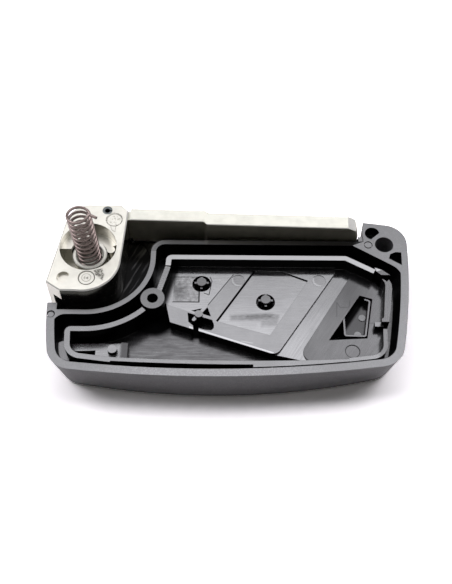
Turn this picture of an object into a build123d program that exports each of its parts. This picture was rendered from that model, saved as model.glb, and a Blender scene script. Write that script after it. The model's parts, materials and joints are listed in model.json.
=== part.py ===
from build123d import *
import os
from math import cos, radians, sin

# Rear half of a folding key remote, opened up: the moulded shell with its tray, the cast flip
# head that turns in the shell, the blade folded along the open side, and the loose wire spring
# standing in the head. Millimetres, +Z up. The origin lies under the middle of the whole part,
# on the surface that the shell rests on. X runs from the head to the key ring corner, and Y
# from the closed side to the open side where the blade lies.

os.makedirs("parts", exist_ok=True)

# Shell outline at the rim, as sharp corners that are rounded afterwards
shell_depth = 10.0
wall_end = (-38.45, -2.85)
near_left = (-36.6, -18.0)
near_right = (34.9, -16.8)
far_right = (38.75, 17.4)
loop_tip = (29.6, 18.6)
loop_foot = (29.35, 17.2)
far_left = (-36.2, 19.1)
near_bow = 2.45
left_bow = 0.35
right_bow = 1.05
near_corner_r = 5.5
far_corner_r = 5.0
head_corner_r = 8.0

# The shell draws in towards its flat underside, most of all at the corners
near_left_draw = (1.5, 1.7)
near_right_draw = (1.2, 2.1)
far_right_draw = (1.5, 1.5)
far_left_draw = (1.6, 1.5)
side_draw = 1.3
underside_near_bow = 4.1
underside_corner_r = 5.5
underside_loop_r = 6.5
underside_edge_r = 0.8

# Moulded walls and floors, measured down from the rim
rim_wall = 1.7
plan_overlap = 0.45
bay_wall = 1.1
rib_wall = 1.15
lower_floor_drop = 5.7
tray_drop = 2.9
right_tray_drop = 3.5
right_pad_drop = 3.2
bay_drop = 4.8
blade_floor_drop = 4.3

# The bay that the head turns in, and the open strip for the blade
pivot = (-30.3, 8.5)
bay_r = 13.0
bay_corner_r = 3.0
blade_wall_y = 13.5
end_block_w = 2.1
bay_foot_r = 2.5
bay_floor_step = 0.1
journal_r = 5.0
journal_drop = 5.9
journal_play = 0.05
journal_floor_gap = 0.3

# Ledge at the blade's tip and the corner that carries the key ring
ledge_x = 28.2
ledge_l = 1.0
ledge_w = 1.5
ledge_drop = 0.4
ring_hole = (33.7, 12.7)
ring_hole_r = 2.0
ring_wall_start = (26.6, 12.5)
ring_wall_end = (35.1, 7.2)
ring_wall_corner_r = 4.2
core_drop = 3.0
tip_core = (31.3, 15.7)
tip_core_r = 1.6
tip_core_cut = [(29.6, 12.9), (33.6, 16.5), (34.6, 15.5), (31.2, 12.4)]
side_core = [(34.45, 9.05), (34.8, 10.2), (36.0, 10.75), (37.25, 10.65), (37.1, 7.35)]
side_core_r = 0.6
pip = (30.2, 12.6)
pip_r = 0.75
pip_ring = 0.2
pip_rise = 0.25
end_pip = (-37.4, -5.6)
end_pip_r = 0.65
end_pip_shift = 0.12
end_pip_depth = 0.8

# Screw boss
boss = (-16.4, -1.55)
boss_r = 2.55
boss_hole_r = 1.15
boss_hole_depth = 5.5

# Inner rib: a second wall that runs round the tray, open at the boss
far_rib_start = (-13.45, 6.8)
rib_corner = (-13.3, 9.0)
rib_bend = (25.0, 9.0)
rib_break = (31.0, 5.6)
left_rib = [(-13.45, 6.55), (-15.3, -0.3)]
rib_r = 17.6
rib_sweep = 44.0
rib_left_x = -33.6
rib_left_foot = (-33.2, -15.1)
rib_left_end_y = -16.25
rib_turn_r = 0.7
rib_foot_r = 3.2
near_rib_ends = (-28.0, 28.5)
near_rib_y = -15.5
near_rib_bow = 0.8
thin_rib = 0.85
thin_rib_from = -24.2
heavy_rib_gap = 0.25
heavy_rib_from = 4.7
heavy_rib_to = 24.5
corner_rib = [(24.2, -15.9), (31.7, -14.9), (32.1, -8.6)]
right_rib = [(33.95, 3.6), (34.4, 2.5), (34.4, 1.2), (33.7, -3.55), (33.15, -6.15), (33.1, -6.9),
             (31.55, -6.9), (31.6, -6.2), (32.1, -5.8), (33.05, 2.2), (32.95, 2.9), (32.4, 3.8),
             (33.2, 3.35), (33.45, 3.0)]
rib_tip = [(31.1, 6.65), (32.7, 6.05), (34.3, 4.75), (32.4, 4.75), (31.45, 5.65)]
rib_tab = [(30.3, -6.1), (32.0, -6.1), (32.15, -7.2), (30.3, -7.2)]
rib_tab_drop = 1.5
corner_web = [(-35.6, -11.0), (-34.0, -10.3), (-32.9, -15.4), (-35.4, -14.6)]
corner_web_drop = 2.6

# Steps of the tray, and its posts, pits and marks
tray_corners = [(-13.3, 9.0), (-14.8, 0.6), (-13.7, -1.2), (-12.7, -5.7), (9.7, -13.4), (22.9, 7.1),
                (22.9, 9.0)]
tray_step_r = 0.5
tray_near_r = 1.8
right_tray_corners = [(7.9, -12.7), (21.5, -15.9), (28.0, -15.6), (32.0, -13.0), (32.5, -8.6),
                      (32.6, -6.5), (33.6, 2.6), (32.2, 3.8), (31.0, 5.6), (25.0, 9.0), (15.0, 9.0)]
right_pad_corners = [(27.2, 8.0), (13.9, -14.1), (24.0, -15.9), (31.9, -13.6), (32.5, -8.6),
                     (32.6, -6.5), (33.6, 2.6), (32.2, 3.8), (31.0, 5.6)]
right_pad_r = 2.2
post_spots = [(-6.2, 4.0), (7.6, -0.35)]
post_r = 1.05
post_rise = 0.85
pit_r = 2.03
pit_depth = 1.3
fin_w = 0.5
fin_reach = 1.55
fin_rise = 0.4
panel_depth = 0.35
panel_corners = [(-2.8, -5.4), (5.3, 7.4), (11.5, 7.3), (16.9, 5.0), (8.4, -8.7)]
recess_depth = 0.12
recess_corners = [(-12.2, 5.8), (-6.7, 5.8), (-6.7, -0.6), (-12.2, -0.6)]
cross_spot = (-6.65, -3.85)
cross_post_r = 0.87
cross_arm_w = 0.75
cross_rise = 0.5
cross_pit = [(-9.05, -3.0), (-8.8, -5.55), (-7.8, -6.5), (-7.7, -8.2), (-6.65, -8.5), (-6.6, -7.05),
             (-5.25, -7.5), (-3.95, -7.6), (-3.4, -7.0), (-3.4, -6.2), (-3.85, -4.85), (-4.8, -1.95)]
cross_arms = [[(-9.4, -2.8), (-3.6, -4.76)], [(-4.9, -1.45), (-7.7, -5.0)]]
mark_spots = [(1.7, 4.9), (19.3, 5.0), (25.5, -12.2)]
mark_r = 1.45
mark_depth = 0.12
mark_split_y = 0.0
window_drop = 8.4
cup_wall = 0.38
cup_top_gap = 0.2
cup_floor_drop = 5.4
cup_dots = [(28.4, -2.9), (27.15, -7.1)]
cup_dot_r = 0.8
cup_dot_rise = 0.15
cup_corner_r = 0.6
window_corners = [(27.9, 1.5), (30.6, 0.6), (28.8, -9.1), (20.7, -9.6)]
cup_corners = [(24.0, 2.3), (30.25, 0.4), (28.65, -8.65), (24.0, -8.5)]
cup_mouth = [(26.0, 2.5), (28.9, 2.0), (28.9, -1.5), (26.0, -1.5)]

# Catch plate at the near left
catch_drop = 3.9
catch_block_drop = 3.6
catch_peg = (-24.4, -12.3)
catch_peg_r = 1.0
catch_peg_rise = 1.2
catch_plate = [(-33.0, -10.5), (-22.6, -10.4), (-22.6, -16.0), (-33.0, -15.2)]
catch_slot = [(-32.3, -12.3), (-28.0, -12.1), (-28.0, -14.9), (-30.5, -14.9)]
catch_block = [(-22.7, -10.3), (-21.3, -10.4), (-21.3, -16.2), (-22.7, -16.2)]

# Flip head, measured from the rim and from the pivot
head_rise = 4.5
head_drop = 4.5
head_hole_r = 6.05
chamber_drop = 1.7
deep_chamber_drop = 3.4
high_shelf_rise = 2.6
low_shelf_rise = 0.8
shelf_inner_r = 3.9
lug = (4.35, 1.6)
lug_r = 0.9
lug_rise = 1.0
head_edge = 0.25
dimple = (-4.5, -7.9)
dimple_r = 1.4
dimple_depth = 0.8
dimple_cut = [(-2.9, -6.2), (-4.4, -10.0), (-2.0, -10.0), (-2.0, -6.2)]
notch_top = 0.8
corner_notch = [(-6.9, -9.4), (-6.9, -12.0), (-4.4, -12.0), (-4.4, -9.4)]
head_left_foot = (-8.05, -9.0)
head_left_heel = (-5.0, -11.05)
head_near_end = (-1.7, -11.1)
head_near_bulge = (4.55, -9.2)
head_front = [(-4.6, 11.2), (8.1, 11.2), (7.1, -4.0)]
head_back_r = 5.0
head_front_cut = 1.75
high_shelf = [(-0.3, 0.6), (-9.0, 0.6), (-9.0, 9.0), (-0.3, 9.0)]
low_shelf = [(-0.3, 0.0), (-0.3, 9.0), (9.0, 9.0), (9.0, 4.8)]
deep_stretch = [(0.0, 0.0), (9.0, 4.2), (9.0, -9.0), (4.8, -9.0)]
deep_step = 0.15

# Spring cup and spring
cup_r = 3.7
cup_bore_r = 2.9
cup_rise = 1.5
cup_base = 0.7
cup_edge = 0.15
spring_r = 2.3
wire_r = 0.3
spring_turns = 10.97
spring_pitch = 1.53
spring_lean = 2.3
spring_leg = 1.9
spring_leg_turn = -27.0
spring_seat = 0.05

# Blade, measured in a frame that is turned about the pivot by the lie angle
blade_lie = -1.45
blade_half_h = 4.0
blade_y = 8.6
blade_w = 3.2
shank_y = 9.23
shank_w = 3.05
shank_from = 8.2
shank_to = 24.3
step_run = 0.7
tip_gap = 0.45
tip_run = 2.4
tip_slope = 1.0
tip_nose = 0.65
tip_nose_half_h = 0.8
tip_open_r = 1.4
tip_closed_r = 0.5
groove_h = 3.0
groove_depth = 0.9
groove_from = 20.5
blade_edge = 0.15
tang_from = 1.2
tang_w = 2.4
tang_half_h = 3.4
slot_play = 0.05
pin_spot = (3.4, 9.6)
pin_r = 1.05
pin_bore_r = 0.6
pin_length = 7.9
pin_slit = 0.3
rivet_spots = {"blade_rivet": (5.1, 7.0), "head_rivet": (0.4, -8.05)}
rivet_r = 1.68
rivet_head = 0.7
rivet_shank_r = 0.6
rivet_shank = 1.2
fit_play = 0.03
pin_sink = 0.1
rivet_edge = 0.12

# Heights of the main faces, and the blade's reach along its own axis
rim_z = shell_depth
lower_floor = rim_z - lower_floor_drop
tray_z = rim_z - tray_drop
bay_z = rim_z - bay_drop
blade_floor = rim_z - blade_floor_drop
head_top = rim_z + head_rise
head_bottom = rim_z - head_drop
chamber_z = rim_z - chamber_drop
pad_z = rim_z - right_pad_drop
lie = radians(blade_lie)
blade_to = ledge_x - pivot[0] - tip_gap


def level(height):
    """Level plane at a height, with the shell's axes."""
    return Plane.XY.offset(height)


def head_level(height):
    """Level plane at a height, with its origin on the pivot."""
    return Plane(origin=(*pivot, height))


def blade_level(height):
    """Level plane on the pivot, turned to lie along the blade."""
    return Plane(origin=(*pivot, height), x_dir=(cos(lie), sin(lie), 0), z_dir=(0, 0, 1))


def polygon(plane, *corners, rounds=None):
    """Flat area with straight sides, some of its corners rounded."""
    with BuildSketch(plane) as area:
        with BuildLine():
            Polyline(*corners, close=True)
        make_face()
        for number, radius in (rounds or {}).items():
            fillet(corner_at(area, corners[number]), radius)
    return area.sketch


def disc(plane, spot, radius):
    """Flat round area."""
    with BuildSketch(plane) as area:
        with Locations(spot):
            Circle(radius)
    return area.sketch


def strip(plane, width, *corners, bend=None):
    """Flat band of even width along a path, with rounded bends where asked."""
    with BuildSketch(plane) as area:
        with BuildLine() as path:
            if bend:
                FilletPolyline(*corners, radius=bend)
            else:
                Polyline(*corners)
        trace(path.edges(), line_width=width)
    return area.sketch


def corner_at(area, spot):
    """The corner of a flat area that lies nearest to a spot."""
    return area.vertices().sort_by_distance(Vector(spot[0], spot[1], area.vertices()[0].Z))[0]


def drawn(corner, draw):
    """A rim corner moved in towards the middle of the shell by its draw."""
    return tuple(c - d if c > 0 else c + d for c, d in zip(corner, draw))


def shell_area(height, corners, near, corner_r, loop_r):
    """Outline of the shell at one height."""
    left, c1, c2, c3, tip, c4 = corners
    with BuildSketch(level(height)) as area:
        with BuildLine():
            SagittaArc(left, c1, -left_bow)
            SagittaArc(c1, c2, -near)
            SagittaArc(c2, c3, -right_bow)
            Polyline(c3, tip, c4, left)
        make_face()
        fillet([corner_at(area, c1), corner_at(area, c2)], corner_r)
        fillet(corner_at(area, c3), loop_r)
        fillet(corner_at(area, c4), head_corner_r)
    return area.sketch


rim_corners = [wall_end, near_left, near_right, far_right, loop_tip, far_left]
underside_corners = [
    (wall_end[0] + side_draw, wall_end[1]),
    drawn(near_left, near_left_draw),
    drawn(near_right, near_right_draw),
    drawn(far_right, far_right_draw),
    (loop_tip[0], loop_tip[1] - far_right_draw[1]),
    drawn(far_left, far_left_draw),
]
block_x = wall_end[0] + end_block_w
bay_near = pivot[1] - bay_r
bay_side = pivot[0] + bay_r


def rim_area(height):
    """Outline of the shell at the rim, drawn at any height."""
    return shell_area(height, rim_corners, near_bow, near_corner_r, far_corner_r)


def bay_area(height):
    """Space beside the tray that the head and the blade turn in, open at the far side."""
    far = pivot[1] + 2 * bay_r
    turn = radians(-45)
    with BuildSketch(level(height)) as area:
        with BuildLine():
            Line((block_x, bay_near), (pivot[0], bay_near))
            ThreePointArc(
                (pivot[0], bay_near),
                (pivot[0] + bay_r * cos(turn), pivot[1] + bay_r * sin(turn)),
                (bay_side, pivot[1]),
            )
            Polyline(
                (bay_side, pivot[1]),
                (bay_side, blade_wall_y),
                (ledge_x, blade_wall_y),
                (ledge_x, blade_wall_y + ledge_w),
                (ledge_x + ledge_l, blade_wall_y + ledge_w),
                (loop_tip[0], far),
                (wall_end[0] - bay_r, far),
                (wall_end[0] - bay_r, wall_end[1]),
                (block_x, wall_end[1]),
                (block_x, bay_near),
            )
        make_face()
        fillet(corner_at(area, (bay_side, blade_wall_y)), bay_corner_r)
    return area.sketch


def cavity_area(height):
    """Space beside the bay wall and the ring corner, in plan a little wider than the hollow."""
    slope = (ring_wall_end[1] - ring_wall_start[1]) / (ring_wall_end[0] - ring_wall_start[0])
    out_x = far_right[0] + rim_wall
    out_y = ring_wall_start[1] + slope * (out_x - ring_wall_start[0])
    ring_corner = polygon(
        level(height),
        ring_wall_start,
        (out_x, out_y),
        (out_x, far_right[1] + rim_wall),
        (ring_wall_start[0], far_right[1] + rim_wall),
    )
    bay = offset(bay_area(height), amount=bay_wall, kind=Kind.INTERSECTION, mode=Mode.PRIVATE)
    with BuildSketch(level(height)) as area:
        add(offset(rim_area(height), amount=plan_overlap - rim_wall, mode=Mode.PRIVATE))
        add(bay, mode=Mode.SUBTRACT)
        add(ring_corner, mode=Mode.SUBTRACT)
        fillet(corner_at(area, (wall_end[0], bay_near - bay_wall)), bay_foot_r)
        fillet(corner_at(area, ring_wall_end), ring_wall_corner_r)
    return area.sketch


def chamber_area(plane, *shelves):
    """The head's round chamber at one level, less the shelves that stand in it there."""
    with BuildSketch(plane) as area:
        Circle(head_hole_r)
        for shelf in shelves:
            with BuildSketch(mode=Mode.PRIVATE) as step:
                Circle(head_hole_r + head_edge)
                Circle(shelf_inner_r, mode=Mode.SUBTRACT)
                add(polygon(Plane.XY, *shelf), mode=Mode.INTERSECT)
            add(step.sketch, mode=Mode.SUBTRACT)
    return area.sketch


near_rib_half = (near_rib_ends[1] - near_rib_ends[0]) / 2
near_rib_middle = (near_rib_ends[0] + near_rib_ends[1]) / 2
near_rib_arc_r = (near_rib_half**2 + near_rib_bow**2) / (2 * near_rib_bow)
near_rib_centre = (near_rib_middle, near_rib_y - near_rib_bow + near_rib_arc_r)


def near_rib_area(height, start, end, width):
    """Stretch of the rib along the closed side, outside one long shallow arc."""
    with BuildSketch(level(height)) as area:
        with Locations(near_rib_centre):
            Circle(near_rib_arc_r + width)
            Circle(near_rib_arc_r, mode=Mode.SUBTRACT)
        with Locations(((start + end) / 2, near_rib_y)):
            Rectangle(end - start, 4 * rib_wall, mode=Mode.INTERSECT)
    return area.sketch


def heavy_rib_area(height):
    """Heavy stretch of the same rib, which reaches out to a thin groove along the rim."""
    with BuildSketch(level(height)) as area:
        add(offset(rim_area(height), amount=-rim_wall - heavy_rib_gap, mode=Mode.PRIVATE))
        with Locations(near_rib_centre):
            Circle(near_rib_arc_r, mode=Mode.SUBTRACT)
        with Locations(((heavy_rib_from + heavy_rib_to) / 2, near_rib_y)):
            Rectangle(heavy_rib_to - heavy_rib_from, 4 * rib_wall, mode=Mode.INTERSECT)
    return area.sketch


def curved_rib_area(height):
    """Rib that runs round the bay wall, then along the end and into the closed side."""
    with BuildSketch(level(height)) as area:
        with BuildLine() as path:
            CenterArc(pivot, rib_r, -90, rib_sweep)
            FilletPolyline(
                (pivot[0], pivot[1] - rib_r),
                (rib_left_x, pivot[1] - rib_r),
                rib_left_foot,
                (thin_rib_from, rib_left_end_y),
                radius=[rib_turn_r, rib_foot_r],
            )
        trace(path.edges(), line_width=rib_wall)
    return area.sketch


def underside_area(height, inset=0.0):
    """Outline of the flat underside, drawn at any height and moved in by a wall."""
    area = shell_area(height, underside_corners, underside_near_bow, underside_corner_r,
                      underside_loop_r)
    return offset(area, amount=-inset) if inset else area


# Hollow between the drawn-in outer wall, the bay wall and the ring corner
with BuildPart() as hollow:
    loft([underside_area(0, rim_wall), offset(rim_area(rim_z), amount=-rim_wall)], ruled=True)
    extrude(cavity_area(lower_floor), amount=lower_floor_drop + rim_wall, mode=Mode.INTERSECT)

with BuildPart() as rear_shell:
    # Outer form: drawn in from the rim to a flat underside with a soft edge
    loft([underside_area(0), rim_area(rim_z)], ruled=True)
    fillet(rear_shell.faces().sort_by(Axis.Z)[0].edges(), underside_edge_r)
    extrude(
        polygon(
            level(0),
            loop_foot,
            (loop_tip[0], loop_tip[1] + bay_wall),
            (far_left[0], far_left[1] + bay_r),
            far_left,
        ),
        amount=shell_depth,
        mode=Mode.SUBTRACT,
    )

    # Bay for the head and the blade, with a seat for the head's journal
    extrude(bay_area(blade_floor), amount=shell_depth, mode=Mode.SUBTRACT)
    extrude(disc(level(bay_z), pivot, bay_r - bay_floor_step), amount=bay_drop, mode=Mode.SUBTRACT)
    journal_seat = rim_z - journal_drop - journal_floor_gap
    extrude(
        disc(level(journal_seat), pivot, journal_r + journal_play),
        amount=bay_z - journal_seat,
        mode=Mode.SUBTRACT,
    )
    extrude(
        polygon(
            level(rim_z - ledge_drop),
            (ledge_x, blade_wall_y),
            (ledge_x + ledge_l, blade_wall_y),
            (ledge_x + ledge_l, blade_wall_y + ledge_w),
            (ledge_x, blade_wall_y + ledge_w),
        ),
        amount=ledge_drop,
        mode=Mode.SUBTRACT,
    )

    # Space inside the rim, with the raised tray and pads on its floor
    add(hollow.part, mode=Mode.SUBTRACT)
    tray_rounds = {3: tray_step_r, 4: tray_near_r}
    extrude(polygon(level(lower_floor), *tray_corners, rounds=tray_rounds),
            amount=tray_z - lower_floor)
    extrude(polygon(level(lower_floor), *right_tray_corners),
            amount=lower_floor_drop - right_tray_drop)
    extrude(polygon(level(lower_floor), *right_pad_corners, rounds={1: right_pad_r}),
            amount=lower_floor_drop - right_pad_drop)

    # Inner rib round the tray
    for area in (
        strip(level(lower_floor), rib_wall, far_rib_start, rib_corner, rib_bend, rib_break,
              bend=rib_turn_r),
        strip(level(lower_floor), rib_wall, *left_rib),
        curved_rib_area(lower_floor),
        near_rib_area(lower_floor, thin_rib_from, heavy_rib_from, thin_rib),
        heavy_rib_area(lower_floor),
        strip(level(lower_floor), thin_rib, *corner_rib, bend=rib_foot_r),
        polygon(level(lower_floor), *right_rib),
        polygon(level(lower_floor), *rib_tip),
    ):
        extrude(area, amount=lower_floor_drop)
    extrude(polygon(level(lower_floor), *rib_tab), amount=lower_floor_drop - rib_tab_drop)
    extrude(polygon(level(lower_floor), *corner_web), amount=lower_floor_drop - corner_web_drop)

    # Screw boss
    extrude(disc(level(lower_floor), boss, boss_r), amount=lower_floor_drop)
    extrude(disc(level(rim_z), boss, boss_hole_r), amount=-boss_hole_depth, mode=Mode.SUBTRACT)

    # Tray: shallow panel and recess, the post pits and the mould marks
    extrude(polygon(level(tray_z), *panel_corners), amount=-panel_depth, mode=Mode.SUBTRACT)
    extrude(polygon(level(tray_z), *recess_corners), amount=-recess_depth, mode=Mode.SUBTRACT)
    for spot in mark_spots:
        mark_z = tray_z if spot[0] < tray_corners[5][0] and spot[1] > mark_split_y else pad_z
        extrude(disc(level(mark_z), spot, mark_r), amount=-mark_depth, mode=Mode.SUBTRACT)
    for spot in post_spots:
        extrude(disc(level(tray_z), spot, pit_r), amount=-pit_depth, mode=Mode.SUBTRACT)
        extrude(disc(level(tray_z - pit_depth), spot, post_r), amount=pit_depth + post_rise)
        with BuildSketch(level(tray_z - pit_depth)):
            with Locations(spot):
                Rectangle(2 * fin_reach, fin_w)
                Rectangle(fin_w, 2 * fin_reach)
        extrude(amount=pit_depth + fin_rise)

    # Cross-shaped post in an open pit at the tray's edge
    extrude(polygon(level(lower_floor), *cross_pit), amount=lower_floor_drop, mode=Mode.SUBTRACT)
    cross_top = lower_floor_drop - tray_drop
    for arm in cross_arms:
        extrude(strip(level(lower_floor), cross_arm_w, *arm), amount=cross_top)
    extrude(disc(level(lower_floor), cross_arms[1][1], cross_arm_w / 2), amount=cross_top)
    extrude(disc(level(lower_floor), cross_spot, cross_post_r), amount=cross_top + cross_rise)

    # Pocket for the transponder: a three-sided window with a thin-walled cup against its slant
    window_z = rim_z - window_drop
    cup_rounds = {1: cup_corner_r, 2: cup_corner_r, 3: cup_corner_r}
    extrude(polygon(level(window_z), *window_corners), amount=window_drop, mode=Mode.SUBTRACT)
    with BuildSketch(level(window_z)):
        add(polygon(Plane.XY, *cup_corners, rounds=cup_rounds))
        add(polygon(Plane.XY, *window_corners), mode=Mode.INTERSECT)
    extrude(amount=window_drop - right_pad_drop - cup_top_gap)
    with BuildSketch(level(rim_z - cup_floor_drop)):
        add(offset(polygon(Plane.XY, *cup_corners, rounds=cup_rounds), amount=-cup_wall,
                   mode=Mode.PRIVATE))
        add(polygon(Plane.XY, *cup_mouth))
        add(polygon(Plane.XY, *window_corners), mode=Mode.INTERSECT)
    extrude(amount=cup_floor_drop, mode=Mode.SUBTRACT)
    for spot in cup_dots:
        extrude(disc(level(rim_z - cup_floor_drop), spot, cup_dot_r), amount=cup_dot_rise)

    # Catch plate with its slot, peg and block at the near left
    extrude(polygon(level(lower_floor), *catch_plate), amount=lower_floor_drop - catch_drop)
    extrude(polygon(level(lower_floor), *catch_slot), amount=lower_floor_drop - catch_drop,
            mode=Mode.SUBTRACT)
    extrude(polygon(level(lower_floor), *catch_block), amount=lower_floor_drop - catch_block_drop)
    extrude(disc(level(rim_z - catch_drop), catch_peg, catch_peg_r), amount=catch_peg_rise)

    # Key ring corner: the ring's hole, two cored pockets and a locating pip
    extrude(disc(level(0), ring_hole, ring_hole_r), amount=shell_depth, mode=Mode.SUBTRACT)
    with BuildSketch(level(rim_z)):
        with Locations(tip_core):
            Circle(tip_core_r)
        add(polygon(Plane.XY, *tip_core_cut), mode=Mode.SUBTRACT)
    extrude(amount=-core_drop, mode=Mode.SUBTRACT)
    extrude(polygon(level(rim_z), *side_core, rounds={1: side_core_r, 2: side_core_r}), amount=-core_drop,
            mode=Mode.SUBTRACT)
    with BuildSketch(level(rim_z)):
        with Locations(pip):
            Circle(pip_r + pip_ring)
            Circle(pip_r, mode=Mode.SUBTRACT)
    extrude(amount=-pip_rise, mode=Mode.SUBTRACT)
    with BuildSketch(level(rim_z)):
        with Locations(end_pip):
            Circle(end_pip_r + pip_ring)
        with Locations((end_pip[0], end_pip[1] - end_pip_shift)):
            Circle(end_pip_r, mode=Mode.SUBTRACT)
    extrude(amount=-end_pip_depth, mode=Mode.SUBTRACT)

rear_shell.part.label = "rear_shell"
export_step(rear_shell.part, "parts/rear_shell.step")

with BuildPart() as flip_head:
    # Cast block with one long slanted side and a rounded front that clears the bay wall
    with BuildSketch(head_level(head_bottom)) as head_plan:
        with BuildLine():
            Polyline(head_front[0], head_left_foot, head_left_heel, head_near_end)
            ThreePointArc(head_near_end, head_near_bulge, head_front[2])
            Polyline(head_front[2], head_front[1], head_front[0])
        make_face()
        fillet(corner_at(head_plan, head_front[0]), head_back_r)
        chamfer(corner_at(head_plan, head_front[1]), head_front_cut)
    extrude(amount=head_rise + head_drop)
    chamfer(flip_head.faces().sort_by(Axis.Z)[-1].edges(), head_edge)

    # Round chamber with two shelves, a deeper stretch and the stop lug
    high_z = rim_z + high_shelf_rise
    low_z = rim_z + low_shelf_rise
    deep_z = rim_z - deep_chamber_drop
    extrude(chamber_area(head_level(high_z)), amount=head_top - high_z, mode=Mode.SUBTRACT)
    extrude(chamber_area(head_level(low_z), high_shelf), amount=high_z - low_z,
            mode=Mode.SUBTRACT)
    extrude(chamber_area(head_level(chamber_z), high_shelf, low_shelf), amount=low_z - chamber_z,
            mode=Mode.SUBTRACT)
    with BuildSketch(head_level(deep_z)):
        Circle(head_hole_r - deep_step)
        Circle(shelf_inner_r, mode=Mode.SUBTRACT)
        add(polygon(Plane.XY, *deep_stretch), mode=Mode.INTERSECT)
    extrude(amount=chamber_z - deep_z, mode=Mode.SUBTRACT)
    extrude(disc(head_level(deep_z), lug, lug_r), amount=deep_chamber_drop + lug_rise)

    # Journal that turns in the shell's floor
    extrude(disc(head_level(rim_z - journal_drop), (0, 0), journal_r),
            amount=journal_drop - head_drop)

    # Slot for the blade's tang, and the holes for its pin and the two rivets
    with BuildSketch(blade_level(rim_z)):
        with Locations(((tang_from - slot_play + shank_from) / 2 + slot_play, shank_y)):
            Rectangle(shank_from - tang_from + slot_play, tang_w + 2 * slot_play)
    extrude(amount=tang_half_h + slot_play, both=True, mode=Mode.SUBTRACT)
    extrude(disc(head_level(head_top), pin_spot, pin_r + fit_play), amount=-pin_length,
            mode=Mode.SUBTRACT)
    for spot in rivet_spots.values():
        extrude(disc(head_level(head_top), spot, rivet_r + fit_play), amount=-rivet_head,
                mode=Mode.SUBTRACT)
        extrude(disc(head_level(head_top), spot, rivet_shank_r + fit_play),
                amount=-rivet_head - rivet_shank, mode=Mode.SUBTRACT)

    # Half-round sink mark with a straight side, and the notch under the near left corner
    with BuildSketch(head_level(head_top)):
        with Locations(dimple):
            Circle(dimple_r)
        add(polygon(Plane.XY, *dimple_cut), mode=Mode.SUBTRACT)
    extrude(amount=-dimple_depth, mode=Mode.SUBTRACT)
    extrude(polygon(head_level(head_bottom), *corner_notch), amount=head_drop + notch_top,
            mode=Mode.SUBTRACT)

flip_head.part.label = "flip_head"
export_step(flip_head.part, "parts/flip_head.step")

with BuildPart() as spring_cup:
    extrude(disc(head_level(chamber_z), (0, 0), cup_r), amount=chamber_drop + cup_rise)
    extrude(disc(head_level(chamber_z + cup_base), (0, 0), cup_bore_r),
            amount=chamber_drop + cup_rise - cup_base, mode=Mode.SUBTRACT)
    chamfer(spring_cup.faces().sort_by(Axis.Z)[-1].edges(), cup_edge)

spring_cup.part.label = "spring_cup"
export_step(spring_cup.part, "parts/spring_cup.step")

# Wire spring: close even turns that lean a little, with one end bent out as a short leg
lean = radians(spring_lean)
spring_base = Vector(*pivot, chamber_z + cup_base + wire_r + spring_seat)
spring_axis = Vector(-sin(lean), 0, cos(lean))
with BuildPart() as flip_spring:
    with BuildLine():
        coil = Helix(spring_pitch, spring_turns * spring_pitch, spring_r, center=spring_base,
                     direction=spring_axis)
    with BuildSketch(Plane(origin=coil @ 0, z_dir=coil % 0)):
        Circle(wire_r)
    sweep(path=coil, is_frenet=True)
    turn = radians(spring_leg_turn)
    leg_end = coil @ 1
    with BuildSketch(Plane(origin=leg_end, z_dir=(cos(turn), sin(turn), 0))):
        Circle(wire_r)
    extrude(amount=spring_leg)
    with Locations(leg_end):
        Sphere(wire_r)

flip_spring.part.label = "flip_spring"
export_step(flip_spring.part, "parts/flip_spring.step")

with BuildPart() as key_blade:
    # Blade and shank stand on edge, and the shank is a little nearer the open side
    with BuildSketch(blade_level(rim_z)) as blade_plan:
        with BuildLine():
            Polyline(
                (shank_from, shank_y - shank_w / 2),
                (shank_to, shank_y - shank_w / 2),
                (shank_to + step_run, blade_y - blade_w / 2),
                (blade_to, blade_y - blade_w / 2),
                (blade_to, blade_y + blade_w / 2),
                (shank_to + step_run, blade_y + blade_w / 2),
                (shank_to, shank_y + shank_w / 2),
                (shank_from, shank_y + shank_w / 2),
                close=True,
            )
        make_face()
        fillet(corner_at(blade_plan, (blade_to, blade_y + blade_w / 2)), tip_open_r)
        fillet(corner_at(blade_plan, (blade_to, blade_y - blade_w / 2)), tip_closed_r)
    extrude(amount=blade_half_h, both=True)
    long_edges = key_blade.edges().filter_by(lambda e: e.length > 2 * blade_half_h)
    chamfer(long_edges, blade_edge)

    # Milled groove along the open side, which runs out in the shank, and the bevelled tip
    groove_floor = blade_y + blade_w / 2 - groove_depth
    with BuildSketch(blade_level(rim_z)):
        with Locations(((groove_from + blade_to) / 2, groove_floor + shank_w / 2)):
            Rectangle(blade_to - groove_from, shank_w)
    extrude(amount=groove_h / 2, both=True, mode=Mode.SUBTRACT)
    with BuildSketch(Plane(origin=(*pivot, rim_z), x_dir=(cos(lie), sin(lie), 0),
                           z_dir=(sin(lie), -cos(lie), 0))):
        for side in (1, -1):
            with BuildLine():
                Polyline(
                    (blade_to - tip_run, side * blade_half_h),
                    (blade_to - tip_nose, side * (blade_half_h - tip_slope)),
                    (blade_to, side * tip_nose_half_h),
                    (blade_to + tip_run, side * tip_nose_half_h),
                    (blade_to + tip_run, side * (blade_half_h + tip_slope)),
                    (blade_to - tip_run, side * (blade_half_h + tip_slope)),
                    close=True,
                )
            make_face()
    extrude(amount=shank_y + shank_w, both=True, mode=Mode.SUBTRACT)

    # Tang in the head, with the half-round notch that the pin sits in
    with BuildSketch(blade_level(rim_z)):
        with Locations(((tang_from + shank_from) / 2, shank_y)):
            Rectangle(shank_from - tang_from, tang_w)
    extrude(amount=tang_half_h, both=True)
    extrude(disc(head_level(rim_z - blade_half_h), pin_spot, pin_r + fit_play),
            amount=2 * blade_half_h, mode=Mode.SUBTRACT)

key_blade.part.label = "key_blade"
export_step(key_blade.part, "parts/key_blade.step")

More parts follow.
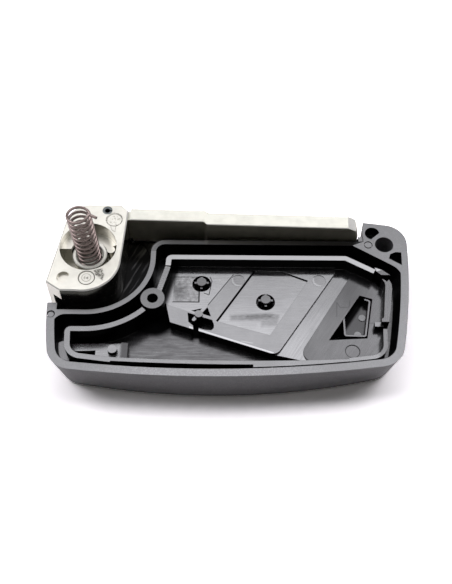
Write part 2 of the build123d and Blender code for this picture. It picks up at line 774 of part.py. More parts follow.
# Hollow spring pin, slit along its length
with BuildPart() as blade_roll_pin:
    pin_foot = head_top - pin_length
    extrude(disc(head_level(pin_foot), pin_spot, pin_r), amount=pin_length - pin_sink)
    extrude(disc(head_level(pin_foot), pin_spot, pin_bore_r), amount=pin_length,
            mode=Mode.SUBTRACT)
    with BuildSketch(head_level(pin_foot)):
        with Locations((pin_spot[0] + pin_r, pin_spot[1])):
            Rectangle(2 * pin_r, pin_slit)
    extrude(amount=pin_length, mode=Mode.SUBTRACT)

blade_roll_pin.part.label = "blade_roll_pin"
export_step(blade_roll_pin.part, "parts/blade_roll_pin.step")

for rivet_name, spot in rivet_spots.items():
    with BuildPart() as rivet:
        extrude(disc(head_level(head_top - rivet_head), spot, rivet_r), amount=rivet_head)
        extrude(disc(head_level(head_top - rivet_head - rivet_shank), spot, rivet_shank_r),
                amount=rivet_shank)
        chamfer(rivet.faces().sort_by(Axis.Z)[-1].edges(), rivet_edge)
    rivet.part.label = rivet_name
    export_step(rivet.part, f"parts/{rivet_name}.step")
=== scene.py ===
# %% [markdown]
# # The open half of a folding key remote
#
# This lesson dresses a finished CAD model in Blender. The object is the rear half of a folding
# car key remote: a black moulded shell, a nickel-plated flip head with a coil spring standing in
# it, and a blade blank that lies along the open side. The CAD model already has the right sizes,
# so the lesson is about light and finishes only, and adds no pieces of its own.

import json
import math

import bpy
from mathutils import Matrix, Vector

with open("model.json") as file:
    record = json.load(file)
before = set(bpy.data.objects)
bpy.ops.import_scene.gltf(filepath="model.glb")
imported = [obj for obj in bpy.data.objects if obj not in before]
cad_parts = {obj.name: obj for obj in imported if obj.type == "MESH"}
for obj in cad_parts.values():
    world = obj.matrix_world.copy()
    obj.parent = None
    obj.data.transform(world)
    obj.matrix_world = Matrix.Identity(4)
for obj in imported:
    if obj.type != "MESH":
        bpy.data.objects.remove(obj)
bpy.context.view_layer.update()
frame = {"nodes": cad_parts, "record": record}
nodes = frame["nodes"]
bpy.ops.object.select_all(action="DESELECT")
MM = 0.001
RECORD = frame["record"]
places = {mount["name"]: Vector(mount["pos_m"]) for mount in RECORD["mounts"]}
places["pivot"] = Vector(RECORD["behaviour"]["joints"][0]["pos_m"])
RIM_Z = places["rim"].z
print("nodes:", ", ".join(sorted(nodes)))
print("rim above the sheet:", round(RIM_Z / MM, 2), "mm")

# %% [markdown]
# ## The camera
#
# A product photographer looks down at the open shell at a steep angle. The lens is fairly long,
# so the sides of the shell stay almost parallel. The camera could be placed by eye, but here its
# angle, distance and lens come from the straight edges of the blade and the rim.

# %% Place the camera
LOOK_AT = Vector((-0.9 * MM, 0.1 * MM, RIM_Z))
LOOK_DOWN = math.radians(57.7)
ROLL = math.radians(0.45)
DISTANCE = 190.7 * MM
LONG_SIDE = 584
LENS_IN_PIXELS = 900

forward = Vector((0, math.cos(LOOK_DOWN), -math.sin(LOOK_DOWN)))
level_right = Vector((1, 0, 0))
level_up = level_right.cross(forward)
right = level_right * math.cos(ROLL) + level_up * math.sin(ROLL)
up = level_up * math.cos(ROLL) - level_right * math.sin(ROLL)

bpy.ops.object.camera_add()
camera = bpy.context.object
camera.name = "camera"
camera.data.sensor_width = 36
camera.data.lens = camera.data.sensor_width * LENS_IN_PIXELS / LONG_SIDE
camera.data.clip_start = 0.01
camera.data.clip_end = 20
camera.matrix_world = Matrix.Translation(LOOK_AT - forward * DISTANCE) @ Matrix(
    (right, up, -forward)).transposed().to_4x4()
bpy.context.scene.camera = camera
print("camera lens", round(camera.data.lens, 2), "mm")

# %% [markdown]
# ## A shader written as sums
#
# Every finish below is worked out from the place on the object. Wiring the maths by hand is slow
# to read, so one small class wraps a socket: sums and comparisons on it add the Math nodes, and
# one method adds any other node.


# %% Wrap a shader socket
class Wire:
    """One output socket of a shader tree, which can be used in sums."""

    def __init__(self, socket):
        self.socket = socket
        self.tree = socket.id_data

    def node(self, kind, settings=None, inputs=None, output=0):
        """Adds a node: its settings first, then the values or wires of its sockets."""
        made = self.tree.nodes.new(kind)
        for name, value in (settings or {}).items():
            setattr(made, name, value)
        for name, value in (inputs or {}).items():
            if isinstance(value, Wire):
                self.tree.links.new(value.socket, made.inputs[name])
            elif value is not None:
                made.inputs[name].default_value = value
        return Wire(made.outputs[output])

    def sum(self, operation, *values, clamp=False):
        return self.node("ShaderNodeMath", {"operation": operation, "use_clamp": clamp},
                         dict(enumerate(values)))

    def __add__(self, other):
        return self.sum("ADD", self, other)

    __radd__ = __add__

    def __sub__(self, other):
        return self.sum("SUBTRACT", self, other)

    def __rsub__(self, other):
        return self.sum("SUBTRACT", other, self)

    def __mul__(self, other):
        return self.sum("MULTIPLY", self, other)

    __rmul__ = __mul__

    def __truediv__(self, other):
        return self.sum("DIVIDE", self, other)

    def root(self):
        return self.sum("SQRT", self)

    def size(self):
        """The number without its sign."""
        return self.sum("ABSOLUTE", self)

    def least(self, other):
        return self.sum("MINIMUM", self, other)

    def most(self, other):
        return self.sum("MAXIMUM", self, other)

    def soft_step(self, low, high):
        """0 below low, 1 above high, and a smooth ramp between them."""
        return self.node("ShaderNodeMapRange", {"interpolation_type": "SMOOTHSTEP"},
                         {"Value": self, "From Min": low, "From Max": high})

    def parts(self):
        """The three numbers of a place."""
        return [self.node("ShaderNodeSeparateXYZ", None, {0: self}, output=n) for n in range(3)]

    def stretched(self, *scale, turn=0.0):
        """The same place turned and then scaled, for a pattern that runs one way."""
        return self.node("ShaderNodeMapping", {"vector_type": "TEXTURE"},
                         {"Vector": self, "Scale": tuple(1 / s for s in scale),
                          "Rotation": (0, 0, turn)})

    def noise(self, size, detail=2.0, rough=0.5):
        """Cloudy noise from 0 to 1 whose blobs are about size wide, in metres."""
        return self.node("ShaderNodeTexNoise", None,
                         {"Vector": self, "Scale": 1 / size, "Detail": detail,
                          "Roughness": rough})

    def blend(self, first, second):
        """Mixes two colours by this wire, from 0 to 1."""
        mix = self.node("ShaderNodeMix", {"data_type": "RGBA"}, {"Factor": self}, output=2)
        made = mix.socket.node
        for socket, value in ((made.inputs[6], first), (made.inputs[7], second)):
            if isinstance(value, Wire):
                self.tree.links.new(value.socket, socket)
            else:
                socket.default_value = (*value, 1)
        return mix


def finish_named(name, fixed):
    """A new material: returns it, a wire with the place on the object, and its main shader."""
    material = bpy.data.materials.new(name)
    material.use_nodes = True
    shader = material.node_tree.nodes["Principled BSDF"]
    for socket, value in fixed.items():
        shader.inputs[socket].default_value = value
    place = Wire(shader.outputs["BSDF"]).node("ShaderNodeTexCoord", output="Object")
    return material, place, shader


def feed(shader, **wires):
    """Links wires to a shader's sockets, such as Base_Color=stain."""
    for name, wire in wires.items():
        shader.id_data.links.new(wire.socket, shader.inputs[name.replace("_", " ")])


def bumped(height, depth, edge=0.0):
    """A surface normal from a height, with the object's own edges rounded where edge is given."""
    base = height.node("ShaderNodeBevel", {"samples": 4}, {"Radius": edge}) if edge else None
    return height.node("ShaderNodeBump", None,
                       {"Strength": 1.0, "Distance": depth, "Height": height, "Normal": base})


print("shader helpers ready")

# %% [markdown]
# ## The sheet and the room
#
# The photograph was taken on a white sheet, with nothing but white behind it. More light on the
# object could burn the sheet out to white too, but it would burn the nickel out as well. So the
# lamps stay at a plain level, and Light Path makes the sheet and the room whiter only for the
# camera, for gloss and for glass. The sheet is small, so that its edge is as white as the room.

# %% Make the sheet and the room
SHEET_SIZE = 0.5
PAPER, PAPER_SEEN = (0.80, 0.80, 0.80), (1.66, 1.61, 1.58)
ROOM, ROOM_SEEN = (0.06, 0.06, 0.06), (1.0, 1.0, 1.0)


def looked_at(shader):
    """1 where the camera looks, straight or by way of metal, gloss or glass."""
    straight, gloss, glass = (
        Wire(shader.outputs[0]).node("ShaderNodeLightPath", output=f"Is {kind} Ray")
        for kind in ("Camera", "Glossy", "Transmission"))
    return straight.most(gloss).most(glass)


bpy.ops.mesh.primitive_plane_add(size=SHEET_SIZE, location=(0, 0, -0.02 * MM))
sheet = bpy.context.object
sheet.name = "white_sheet"
sheet_material = bpy.data.materials.new("white paper")
sheet_material.use_nodes = True
paper = sheet_material.node_tree.nodes["Principled BSDF"]
paper.inputs["Roughness"].default_value = 0.9
paper.inputs["Specular IOR Level"].default_value = 0.1
feed(paper, Base_Color=looked_at(paper).blend(PAPER, PAPER_SEEN))
sheet.data.materials.append(sheet_material)

world = bpy.data.worlds.new("white room")
bpy.context.scene.world = world
world.use_nodes = True
background = world.node_tree.nodes["Background"]
feed(background, Color=looked_at(background).blend(ROOM, ROOM_SEEN))
print("sheet:", SHEET_SIZE, "m wide, in a white room")

# %% [markdown]
# ## The lamps
#
# One large softbox stands behind the object and leans far over it. A glossy black floor shows what
# it mirrors, so the softbox is placed where the inner floors mirror it into the camera. Its height
# also follows from the shadow in front: the sheet is dark only where the rim hides the whole lamp.
# The upper half of the softbox is the brighter one, as the bright near edges of the ribs show. Two
# small wings from the sides keep the sheet white beside the object. A sun or a small lamp would be
# simpler, but gloss would show it as one hot spot on otherwise black floors.

# %% Make the lamps
# How far the lamps stand from the sheet's middle, and their shift to the left, in metres
LAMPS_FAR = 0.65
LAMPS_LEFT = 0.03
LAMP_COLOUR = (0.94, 0.935, 1.0)


def lamp(name, around, height, width, tall, radiance):
    """A flat lamp: degrees round from the back and above the sheet, size in metres."""
    flat = LAMPS_FAR * math.cos(math.radians(height))
    place = Vector((flat * math.sin(math.radians(around)) - LAMPS_LEFT,
                    flat * math.cos(math.radians(around)),
                    LAMPS_FAR * math.sin(math.radians(height))))
    bpy.ops.object.light_add(type="AREA", location=place)
    made = bpy.context.object
    made.name = name
    made.data.shape = "RECTANGLE"
    made.data.size = width
    made.data.size_y = tall
    made.data.color = LAMP_COLOUR
    made.data.energy = radiance * width * tall * math.pi
    made.rotation_mode = "QUATERNION"
    made.rotation_quaternion = (Vector((0, 0, RIM_Z)) - place).to_track_quat("-Z", "Y")


lamp("softbox", 0, 70, 1.20, 0.32, 2.65)
lamp("softbox upper half", 0, 78, 1.20, 0.14, 1.6)
lamp("left wing", -62, 44, 0.30, 0.30, 5.6)
lamp("right wing", 62, 44, 0.30, 0.30, 3.9)
bpy.context.scene.view_settings.view_transform = "Standard"

# %% [markdown]
# ## Places on the floors
#
# The marks on the floors of the shell lie where the mould's pieces met. They are drawn from plain
# lines and discs: the distance from a line in millimetres, the smallest of several such distances
# for an area with straight sides, and the distance from a centre. They could be cut into the mesh,
# but the real ones are no deeper than a scratch.

# %% Distances in millimetres


def flat_place(place):
    """The x and y of a place, in millimetres."""
    x, y, _ = place.parts()
    return x / MM, y / MM


def beside(spot, start, end):
    """Distance from the line through two points, positive on its left."""
    run, rise = end[0] - start[0], end[1] - start[1]
    length = math.hypot(run, rise)
    return (spot[1] - start[1]) * (run / length) - (spot[0] - start[0]) * (rise / length)


def within(spot, *corners):
    """Depth inside an area whose corners run anticlockwise, negative outside."""
    depth = None
    for start, end in zip(corners, corners[1:] + corners[:1]):
        side = beside(spot, start, end)
        depth = side if depth is None else depth.least(side)
    return depth


def from_centre(spot, centre):
    """Distance from a point."""
    x, y = spot[0] - centre[0], spot[1] - centre[1]
    return (x * x + y * y).root()


def band(distance, width, soft=0.12):
    """1 where a distance is less than half a width from 0, and 0 beyond."""
    return 1 - distance.size().soft_step(width / 2 - soft / 2, width / 2 + soft / 2)


def stroke(spot, start, end, width, soft=0.12):
    """1 on the straight stroke between two points, and 0 around it."""
    run, rise = end[0] - start[0], end[1] - start[1]
    middle = ((start[0] + end[0]) / 2, (start[1] + end[1]) / 2)
    across = beside(spot, start, end).size()
    along = beside(spot, middle, (middle[0] - rise, middle[1] + run)).size()
    past = along - (math.hypot(run, rise) / 2 - width / 2)
    return band(across.most(past), width, soft)


def path(spot, width, *points):
    """1 along a path of straight strokes."""
    strokes = [stroke(spot, start, end, width) for start, end in zip(points, points[1:])]
    whole = strokes[0]
    for one in strokes[1:]:
        whole = whole.most(one)
    return whole


print("distance helpers ready")

# %% [markdown]
# ## Black moulded plastic
#
# The mould was polished inside, so the floors and the tops of the ribs shine, while the rim and
# the outside carry a fine matte grain. Every polished floor has its own gloss, because each was
# ground by hand in its own direction: the tray shines most, the pad and the lower floor less. One
# function makes them all from a gloss, a roughness and a direction of grinding. It mixes a glossy
# and a dull black by the shine of each place, so a witness line in the mould can be dark.

# %% Polished black
BLACK = (0.0025, 0.0025, 0.0027)
# The glossy share of a place whose gloss and shine are 1
FULL_SHINE = 0.66


def polished(name, gloss, rough, turn=0.0, streak=0.3, marks=None):
    """Polished black plastic. Its marks give the shine of each place, where 1 is as polished."""
    material, place, shader = finish_named(
        name, {"Specular IOR Level": 1.0, "IOR": 2.0, "Base Color": (*BLACK, 1)})
    fine = place.stretched(0.05, 1.0, 1.0, turn=turn).noise(0.20 * MM, detail=3)
    clouds = place.noise(4 * MM, detail=3)
    height = (fine - 0.5) * (0.006 * streak) + place.noise(0.15 * MM, detail=1) * 0.0008
    feed(shader, Roughness=rough + (clouds - 0.5) * 0.08 + (fine - 0.5) * streak * 0.25,
         Normal=bumped(height, MM, edge=0.08 * MM))
    shine = 1 + (clouds - 0.5) * 0.35 + (fine - 0.5) * (streak * 0.8)
    # Some marks darken or brighten the shine as painted shade and painted highlights.
    if marks:
        shine = shine * marks(flat_place(place), place)
    dull = place.node("ShaderNodeBsdfPrincipled", None,
                      {"Base Color": (*BLACK, 1), "Specular IOR Level": 0.0})
    factor = shine.sum("MULTIPLY", shine, gloss * FULL_SHINE, clamp=True)
    mix = factor.node("ShaderNodeMixShader", None,
                      {0: factor, 1: dull, 2: Wire(shader.outputs["BSDF"])})
    feed(material.node_tree.nodes["Material Output"], Surface=mix)
    return material


print("polished black ready")

# %% [markdown]
# The rim and the outside have a fine grain from the mould, like the skin of an orange but far
# smaller. Real bumps would need millions of faces, so rounded Voronoi cells make it in the Bump
# node. Specks a little paler than the rest stop it from looking like paint, and where handling has
# rubbed the near side of the rim they are paler.

# %% Grained black


def grained(name, colour, rough, depth, size, shine=1.0, worn=None):
    """Matte plastic with a fine moulded grain, paler towards a worn place."""
    material, place, shader = finish_named(name, {"Specular IOR Level": shine, "IOR": 1.6})
    grain = place.node("ShaderNodeTexVoronoi", {"feature": "SMOOTH_F1"},
                       {"Vector": place, "Scale": 1 / size, "Smoothness": 0.6})
    wear = place.noise(1.6 * MM, detail=4)
    speck = place.noise(0.22 * MM, detail=2).soft_step(0.40, 0.72)
    lighter = tuple(c * 1.5 + 0.025 for c in colour)
    shade = wear.soft_step(0.45, 0.75) * 0.4 + speck * 0.6
    if worn:
        near = from_centre(flat_place(place), worn).soft_step(27.0, 12.0)
        shade = shade.blend(colour, lighter)
        shade = near.blend(shade, speck.blend(tuple(c + 0.06 for c in colour),
                                              tuple(c + 0.13 for c in colour)))
    else:
        shade = shade.blend(colour, lighter)
    feed(shader, Base_Color=shade,
         Roughness=rough + wear * 0.12,
         Normal=bumped(grain * 0.7 + place.noise(size / 2) * 0.5, depth, edge=0.12 * MM))
    return material


print("grained black ready")

# %% [markdown]
# ## Marks of the mould
#
# The mould was put together from several inserts, and each left its outline and its own grinding
# on the floors. The tray is lighter and streaked left of a slanting line, the panel has a grainy
# smudge, and the recess is mottled. The marks are written in millimetres on the object. A picture
# could be laid on the floors, but marks written as shine stay sharp at any size.
# Some marks are painted shade along steps and ends, or painted highlights along edges.

# %% Marks on the tray, the panel and the recess
PANEL_EDGE = ((-2.8, -5.4), (5.3, 7.4))
THIN_LINE = 0.16


def left_end_shade(spot):
    """Painted shade: 0 at the left end of the tray, under the slanting wall, and 1 beyond."""
    return beside(spot, (-11.9, 6.7), (-13.9, -0.8)).soft_step(-0.1, 1.1)


def tray_marks(spot, place):
    """A lighter streaked part, insert lines and a scratch, with painted shade and a painted
    highlight.
    """
    slant = ((0.71, 6.47), (-4.72, -1.39))
    low_edge = beside(spot, (-13.49, -1.34), (-8.95, -2.97))
    light = low_edge.least(0 - beside(spot, *slant)).soft_step(-0.1, 0.1)
    streaks = place.stretched(0.08, 1.0, 1.0).noise(0.3 * MM, detail=3)
    lines = stroke(spot, *slant, 0.18) * 0.85
    # The thick line along the panel's edge is painted shade of the step.
    lines = lines.most(path(spot, 0.42, *PANEL_EDGE))
    lines = lines.most(path(spot, THIN_LINE, (-4.41, 5.77), (-3.96, 4.73), (-4.26, 2.93),
                            (-4.55, 1.14), (-5.64, 1.63)) * 0.95)
    lines = lines.most(path(spot, THIN_LINE, (-6.62, 5.9), (-6.62, -0.7), (-12.4, -0.7)) * 0.95)
    scratch = stroke(spot, (2.31, -10.13), (4.81, -10.63), 0.25)
    # A painted highlight along the tray's near edge.
    near_edge_highlight = stroke(spot, (-8.6, -6.85), (9.0, -12.95), 0.42)
    # The left end, under the slanting wall, is darkened as painted shade.
    return (0.86 + light * (streaks * 0.4 - 0.02) + scratch * 0.25 + near_edge_highlight * 1.1) * (
        1 - lines) * (0.05 + left_end_shade(spot) * 0.95)


def panel_marks(spot, place):
    """A grainy smudge below the middle, with painted light towards the near side and painted shade
    at the step.
    """
    smudge = within(spot, (0, -4.98), (10.3, -5.1), (10.41, -3.53), (8.51, -3.05), (0, -3.63))
    foot = within(spot, (6.54, -6.63), (10.14, -6.24), (10.4, -4.5), (6.35, -4.5))
    core = within(spot, (3.4, -4.4), (8.6, -4.2), (9.14, -3.42), (6.37, -3.32), (3.6, -3.7))
    grain = place.stretched(0.25, 1.0, 1.0).noise(0.25 * MM, detail=2)
    dark = smudge.soft_step(-0.4, 0.5).most(foot.soft_step(-0.4, 0.6) * 0.8) * (0.10 + grain * 0.50)
    dark = dark + core.soft_step(-0.4, 0.5) * (grain * 0.45)
    # Painted light: lighter towards the near side.
    near = spot[1].soft_step(2.0, -7.5)
    # Painted shade along the step at the panel's left edge.
    edge = stroke(spot, *PANEL_EDGE, 0.30)
    return (0.82 + near * 0.22) * (1 - dark) * (1 - edge)


def recess_marks(spot, place):
    """Mottled and darker in its middle, with a dark outline and painted shade at its left end."""
    mottle = place.noise(0.9 * MM, detail=4, rough=0.7)
    middle = from_centre(spot, (-11.0, 2.2)).soft_step(3.2, 0.6)
    lines = path(spot, THIN_LINE, (-6.75, 5.9), (-6.75, -0.55), (-12.4, -0.55))
    # The left end is darkened as painted shade under the slanting wall.
    return (0.86 + (mottle - 0.5) * 1.2 - middle * 0.30) * (1 - lines * 0.95) * (
        0.05 + left_end_shade(spot) * 0.95)


print("marks of the middle floors ready")

# %% [markdown]
# The right part of the tray was ground along its own slanting edge, and so was the pad beside it,
# which also shows the round end of an ejector pin. Turning the mesh would turn its grinding too,
# but it would move the piece, so the pattern is turned instead, and both floors share its angle.

# %% Marks on the right part of the tray and on the pad
# Direction of grinding, in radians from the long side
SLANT = 1.0


def side_tray_marks(spot, place):
    """A painted shadow along the left step, and streaks with painted light that grows towards the
    near end.
    """
    streaks = place.stretched(0.07, 1.0, 1.0, turn=SLANT).noise(0.4 * MM, detail=3)
    # Painted light, growing towards the near end.
    near = spot[1].soft_step(3.0, -13.5)
    # Painted shadow of the step along the left edge.
    edge = stroke(spot, (8.4, -14.2), (19.6, 6.0), 0.5)
    return (0.72 + near * 0.34 + (streaks - 0.5) * (0.12 + near * 0.22)) * (1 - edge * 0.9)


def pad_marks(spot, place):
    """Faint insert outlines, a painted highlight along the far edge and a painted sheen at the near
    left.
    """
    circle = band(from_centre(spot, (25.5, -12.2)) - 1.5, 0.18) * 0.7
    outline = path(spot, 0.12, (22.7, -3.9), (22.9, -0.3), (23.6, -1.6), (25.4, -1.5),
                   (25.8, 0.3)).most(stroke(spot, (28.9, -5.4), (31.2, -5.4), 0.12)) * 0.5
    # A painted highlight along the far edge.
    far_edge_highlight = path(spot, 0.14, (26.59, 7.0), (29.04, 6.15), (31.46, 5.18), (33.09, 4.82))
    # A painted sheen at the near left.
    painted_sheen = from_centre(spot, (21.5, -9.5)).soft_step(14.0, 2.0)
    streaks = place.stretched(0.07, 1.0, 1.0, turn=SLANT).noise(0.3 * MM, detail=3)
    right_end = spot[0].soft_step(26.0, 34.0)
    return (0.70 + painted_sheen * 0.38 + (streaks - 0.5) * 0.25 + far_edge_highlight * 0.8 + right_end * 0.45) * (
        1 - circle.most(outline))


print("marks of the right floors ready")

# %% [markdown]
# The deep floors lie in the shade of the ribs. The lower floor was ground coarsely from left to
# right, and the bay under the blade is painted almost black as the shade of the blade and the head,
# with a few slanting streaks. The small marks of round pins, the catch, the cup and the strip by
# the blade only need a change of shine. In the cup, along the strip and below the cross-shaped post
# that change is painted shade, and on the pin marks it is a painted highlight.

# %% Marks on the deep floors and the small pieces
BAY_SLANT = 1.1


def low_marks(spot, place):
    """Coarse level streaks, a painted shade below the cross-shaped post and the boss's painted
    shade.
    """
    streaks = place.stretched(0.12, 1.0, 1.0).noise(0.40 * MM, detail=4, rough=0.75)
    clouds = place.stretched(0.3, 1.0, 1.0).noise(2.5 * MM, detail=2)
    # Painted shade below the cross-shaped post.
    below = within(spot, (-8.2, -8.2), (-6.3, -8.2), (-6.3, -4.0), (-8.2, -4.0))
    boss_shade = from_centre(spot, places["screw_boss"] / MM).soft_step(7.5, 5.0)
    return (0.95 + (streaks - 0.5) * 1.7 + (clouds - 0.5) * 0.7) * (
        1 - below.soft_step(-0.6, 0.4)) * (1 - boss_shade)


def disc_marks(spot, place):
    """A painted highlight: a light crescent at the lower left of each insert pin's round mark."""
    left, right = (
        from_centre(spot, (x + 0.45, y + 0.4)).soft_step(1.35, 1.65)
        * (1 - from_centre(spot, (x, y)).soft_step(1.6, 1.8))
        for x, y in ((1.7, 4.9), (19.3, 5.0)))
    return 0.80 + left.most(right) * 0.28


def cup_marks(spot, place):
    """Painted shade at the left, under the window's edge."""
    return beside(spot, (28.63, 0.19), (24.54, -6.09)).soft_step(-0.3, 0.5) * 0.95 + 0.02


def catch_marks(spot, place):
    """Darker at the raised block than on the plate."""
    return 2.9 - spot[0].soft_step(-23.3, -22.3) * 2.0


def strip_marks(spot, place):
    """Shiny beside the head, and darkened along the blade as painted shade of the blade."""
    return 1.35 - spot[0].soft_step(-20.0, -12.0) * 0.90 - spot[0].soft_step(-10.0, 22.0) * 0.33


def bay_marks(spot, place):
    """Painted shade of the blade and the head, almost black, with a few slanting light streaks."""
    streaks = place.stretched(0.10, 1.0, 1.0, turn=BAY_SLANT).noise(1.0 * MM, detail=3)
    return 0.25 + streaks.soft_step(0.52, 0.75) * 2.2


print("marks of the deep floors ready")

# %% [markdown]
# ## The shell's finishes
#
# Now each finish of the shell is made once. The numbers are its gloss and its roughness: a tray
# that mirrors the softbox has a gloss near 1, a rib's top less, and a wall that faces the near side
# almost none, as painted shade. They could all be one black, but then the floors would run into
# each other.

# %% Make the plastic finishes
shell_finishes = {
    "wall": polished("polished walls", 0.28, 0.18),
    # Walls facing the near side are a darker copy of the walls, as painted shade.
    "wall in painted shade": polished("walls facing the near side in painted shade", 0.05, 0.20),
    "rib": polished("rib tops", 0.80, 0.26, streak=0.15),
    "far rib": polished("far rib top", 1.60, 0.36, streak=0.6),
    "side rib": polished("side rib top", 0.56, 0.28, turn=1.57, streak=0.4),
    "rim": grained("fine grain on the rim", (0.010, 0.010, 0.0105), 0.30, 0.018 * MM, 0.25 * MM,
                   worn=(-4.0, -19.0)),
    "strip": polished("smooth rim by the blade", 0.60, 0.24, marks=strip_marks),
    "outside": grained("fine grain outside", (0.036, 0.0345, 0.037), 0.50, 0.02 * MM, 0.22 * MM,
                       shine=0.5),
    "tray": polished("polished tray", 0.98, 0.16, streak=0.3, marks=tray_marks),
    "mark": polished("insert pin marks", 0.98, 0.18, streak=0.6, marks=disc_marks),
    "post": polished("post tops", 0.58, 0.22),
    "panel": polished("polished panel", 1.06, 0.15, streak=0.6, marks=panel_marks),
    "recess": polished("rubbed recess with painted shade", 1.08, 0.24, streak=0.8, marks=recess_marks),
    "side tray": polished("polished side tray", 1.00, 0.16, turn=SLANT, streak=0.3,
                          marks=side_tray_marks),
    "pad": polished("satin pad", 0.45, 0.18, turn=SLANT, streak=0.3, marks=pad_marks),
    "cup": polished("cup floor", 0.25, 0.18, marks=cup_marks),
    "low": polished("ground lower floor", 0.42, 0.22, streak=0.6, marks=low_marks),
    "catch": polished("satin catch", 0.30, 0.25, streak=0.3, marks=catch_marks),
    # The bay is painted almost black as the shade of the blade and the head.
    "bay": polished("bay floor in painted shade", 0.09, 0.15, turn=BAY_SLANT, streak=0.8, marks=bay_marks),
}
print("plastic finishes:", len(shell_finishes))

# %% [markdown]
# The faces of the shell are shared out between the finishes by their height below the rim, so the
# finish follows the CAD steps exactly. They could be picked by hand in edit mode, but then a change
# to the CAD would lose them. Faces of the outer wall, and any that lean downwards, are grained.

# %% Name the finish of a face
# Depth of each floor below the rim, in millimetres
FLOOR_FINISHES = {
    2.9: "tray", 3.25: "panel", 3.02: "recess", 3.5: "side tray", 3.2: "pad", 3.32: "pad",
    5.7: "low", 3.9: "catch", 3.6: "catch", 4.8: "bay", 4.3: "bay", 5.4: "cup", 5.25: "post",
    2.4: "rib", 2.05: "post", 2.5: "post", 3.4: "post", 2.6: "post", 2.7: "catch", 1.5: "rib",
}


# Ends and bow of the rim's near edge, in millimetres
RIM_LEFT, RIM_RIGHT, RIM_BOW = (-36.6, -18.0), (34.9, -16.8), 2.45
RIM_WIDTH = 1.8
FAR_RIB_END = 10.5
BAY_REACH = 14.4


def rim_edge(x):
    """Where the near edge of the rim lies at one x, in millimetres."""
    along = (x - RIM_LEFT[0]) / (RIM_RIGHT[0] - RIM_LEFT[0])
    straight = RIM_LEFT[1] + (RIM_RIGHT[1] - RIM_LEFT[1]) * along
    return straight - RIM_BOW * (1 - (2 * along - 1) ** 2)


def close_to(spot, name, reach):
    """True within reach of a named place, in millimetres, seen from above."""
    return math.hypot(spot.x - places[name].x / MM, spot.y - places[name].y / MM) < reach


def rim_finish(centre, corners):
    """Name of the finish of a level face at the height of the rim."""
    if close_to(centre, "screw_boss", 2.7):
        return "post"
    inner = all(not close_to(corner, "pivot", BAY_REACH) and corner.y < FAR_RIB_END
                and corner.y > rim_edge(corner.x) + RIM_WIDTH and -36.0 < corner.x < 34.8
                for corner in corners)
    if not inner:
        return "strip" if centre.y > FAR_RIB_END and -18 < centre.x < 24 else "rim"
    return "far rib" if centre.y > 6 else "side rib" if centre.x > 30.5 else "rib"


def finish_of(face, corners):
    """Name of the finish of one face of the shell."""
    centre, normal = face.center / MM, face.normal
    drop = RIM_Z / MM - centre.z
    if normal.z > 0.9:
        if drop < 0.03:
            return rim_finish(centre, corners)
        name = FLOOR_FINISHES[min(FLOOR_FINISHES, key=lambda level: abs(level - drop))]
        return "mark" if name == "recess" and centre.x > -6.0 else name
    # The outer wall is long, so its faces at the two ends count less sideways
    outwards = centre.x * 0.45 * normal.x + centre.y * normal.y > 0
    edge = (centre.x > 35.0 or centre.x < -37.0 or centre.y > 17.0
            or centre.y < rim_edge(centre.x) + 1.2 + 0.2 * drop)
    if normal.z < -0.05 or close_to(centre, "key_ring_hole", 2.3) or (edge and outwards):
        return "outside"
    # Walls facing the near side take the darker copy, as painted shade.
    return "wall in painted shade" if normal.y < -0.3 else "wall"


print("floors told apart:", len(FLOOR_FINISHES))

# %% Share the shell's faces out
shell = nodes["rear_shell"]
shell.data.materials.clear()
finish_names = list(shell_finishes)
for material in shell_finishes.values():
    shell.data.materials.append(material)
counts = dict.fromkeys(finish_names, 0)
for face in shell.data.polygons:
    name = finish_of(face, [shell.data.vertices[v].co / MM for v in face.vertices])
    face.material_index = finish_names.index(name)
    counts[name] += 1
print("faces:", counts)

# %% [markdown]
# ## Marks on the head
#
# Two plugs are riveted flush into the head, and the punch left rings and a ragged middle on them.
# Beside the near plug the plating is stained, and beside the far one there is a curly scratch.
# They are too shallow to be modelled, so they are only darker nickel.

# %% Marks on the head


def head_marks(spot, place):
    """Rings and a ragged middle on the riveted plugs, a dark patch and a curly scratch."""
    ragged = place.noise(0.35 * MM, detail=3)
    plug = from_centre(spot, (-29.98, 0.55))
    far_plug = from_centre(spot, (-25.25, 15.66))
    marks = band(plug - 1.69, 0.20) * 0.70
    marks = marks.most(band(plug - 0.95, 0.16) * 0.55)
    marks = marks.most(plug.soft_step(0.75, 0.25) * ragged.soft_step(0.42, 0.56) * 0.8)
    patch = within(spot, (-28.21, 1.19), (-26.54, -0.19), (-26.26, 1.21), (-26.79, 2.93),
                   (-28.71, 2.44))
    marks = marks.most(patch.soft_step(-0.15, 0.25) * (0.30 + ragged.soft_step(0.38, 0.60) * 0.6))
    marks = marks.most(band(far_plug - 1.75, 0.16) * ragged.soft_step(0.35, 0.55) * 0.8)
    marks = marks.most(far_plug.soft_step(1.7, 1.0) * ragged.soft_step(0.52, 0.62) * 0.5)
    scratch = path(spot, 0.14, (-25.91, 13.81), (-25.56, 12.81), (-24.85, 12.32), (-24.74, 14.49))
    return marks.most(scratch * ragged.soft_step(0.3, 0.5) * 0.7)


print("marks of the head ready")

# %% [markdown]
# ## Metal finishes
#
# The head is a nickel-plated casting and the blade is milled nickel silver. Both are pale and
# slightly warm. Their tops are tumbled and dull, so they show the whole softbox as one even pale
# tone. Their sides kept the smooth plating and mirror the black shell, so they look dark. A darker
# colour on the sides would look right from here only, so the roughness makes the difference.

# %% Metal finishes
TARNISH = (0.05, 0.047, 0.04)


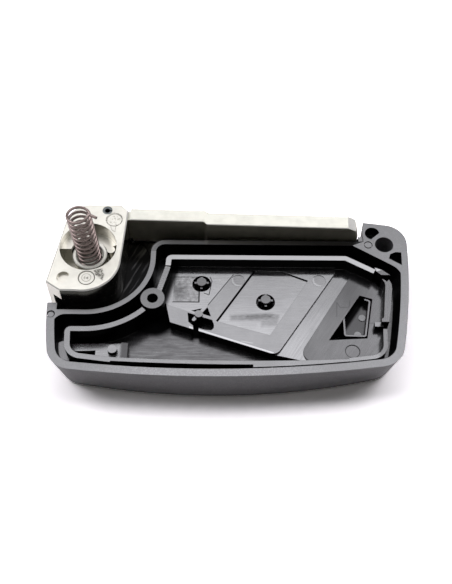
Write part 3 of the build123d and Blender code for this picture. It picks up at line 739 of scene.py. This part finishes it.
def pale_metal(name, colour, rough, streak=None, relief=0.006, marks=None):
    """Nickel with faint clouds in its colour and fine noise in its roughness."""
    material, place, shader = finish_named(name, {"Metallic": 1.0})
    clouds = place.noise(2.2 * MM, detail=4)
    fine = place.stretched(*streak).noise(0.12 * MM, detail=2) if streak else place.noise(0.15 * MM)
    darker = tuple(c * 0.88 for c in colour)
    shade = clouds.soft_step(0.35, 0.75).blend(colour, darker)
    if marks:
        shade = marks(flat_place(place), place).blend(shade, TARNISH)
    feed(shader, Base_Color=shade,
         Roughness=rough + fine * 0.10,
         Normal=bumped(fine + place.noise(0.6 * MM) * 1.5, relief * MM, edge=0.06 * MM))
    return material


def worn_edge_and_highlight(name, colour):
    """The pale, dull look of a worn chamfer, whose pale colour also paints a highlight along the
    edge.
    """
    material, place, shader = finish_named(name, {"Metallic": 0.0, "Specular IOR Level": 0.6})
    wear = place.noise(0.5 * MM, detail=3)
    feed(shader, Base_Color=wear.blend(colour, tuple(c * 0.8 for c in colour)),
         Roughness=0.55 + wear * 0.2)
    return material


NICKEL = (0.45, 0.44, 0.395)
cast_top = pale_metal("tumbled nickel", NICKEL, 0.48, marks=head_marks)
cast_floor = pale_metal("nickel in the chamber", (0.40, 0.385, 0.34), 0.30)
cast_side = pale_metal("smooth nickel plating", NICKEL, 0.12, relief=0.002)
milled_top = pale_metal("milled nickel silver", (0.46, 0.455, 0.405), 0.48, streak=(0.05, 1, 1))
milled_side = pale_metal("smooth nickel silver", (0.56, 0.53, 0.44), 0.30, streak=(0.05, 1, 1),
                         relief=0.002)
dark_steel = pale_metal("dark spring pin steel", (0.10, 0.11, 0.11), 0.35)
wire_steel = pale_metal("spring wire", (0.15, 0.118, 0.108), 0.22)
# The right-facing step of the blade is darkened as painted shade.
step_in_shade = pale_metal("blade step in painted shade", (0.05, 0.045, 0.04), 0.35)
# The chamfers are pale partly from wear and partly as a painted highlight along the edges.
rubbed = worn_edge_and_highlight("rubbed chamfer with painted highlight", (0.62, 0.61, 0.56))
print("metal finishes ready")

# %% [markdown]
# Each metal piece takes its finishes by the way its faces point: level tops, sides, and the narrow
# chamfers between them, which are rubbed pale and whose pale colour also paints a highlight along
# the edges. The floor of the head's chamber was never tumbled, and the small step in the blade,
# which faces the right, is darkened as painted shade. A mask in one finish could tell them apart
# as well, but a slot for each keeps every finish simple.

# %% Give the metal pieces their finishes
TOP_LEVEL, CHAMFER_LEVEL = 0.93, 0.68
CHAMBER_TOP = RIM_Z + 4 * MM
TOP, SIDE, CHAMFER, OTHER = range(4)

for name, finishes in {
    "flip_head": (cast_top, cast_side, rubbed, cast_floor),
    "spring_cup": (cast_top, cast_side, rubbed),
    "key_blade": (milled_top, milled_side, rubbed, step_in_shade),
    "blade_roll_pin": (dark_steel,),
    "blade_rivet": (cast_top,),
    "head_rivet": (cast_top,),
    "flip_spring": (wire_steel,),
}.items():
    mesh = nodes[name].data
    mesh.materials.clear()
    for material in finishes:
        mesh.materials.append(material)
    if len(finishes) == 1:
        continue
    for face in mesh.polygons:
        level = face.normal.z
        face.material_index = (TOP if level > TOP_LEVEL
                               else CHAMFER if level > CHAMFER_LEVEL else SIDE)
        if name == "flip_head" and level > TOP_LEVEL and face.center.z < CHAMBER_TOP:
            face.material_index = OTHER
        # The blade's right-facing step takes the darkened finish, as painted shade.
        if name == "key_blade" and level < 0.3 and face.normal.x > 0.5 and face.center.x < 0:
            face.material_index = OTHER
print("finished nodes:", len(nodes))
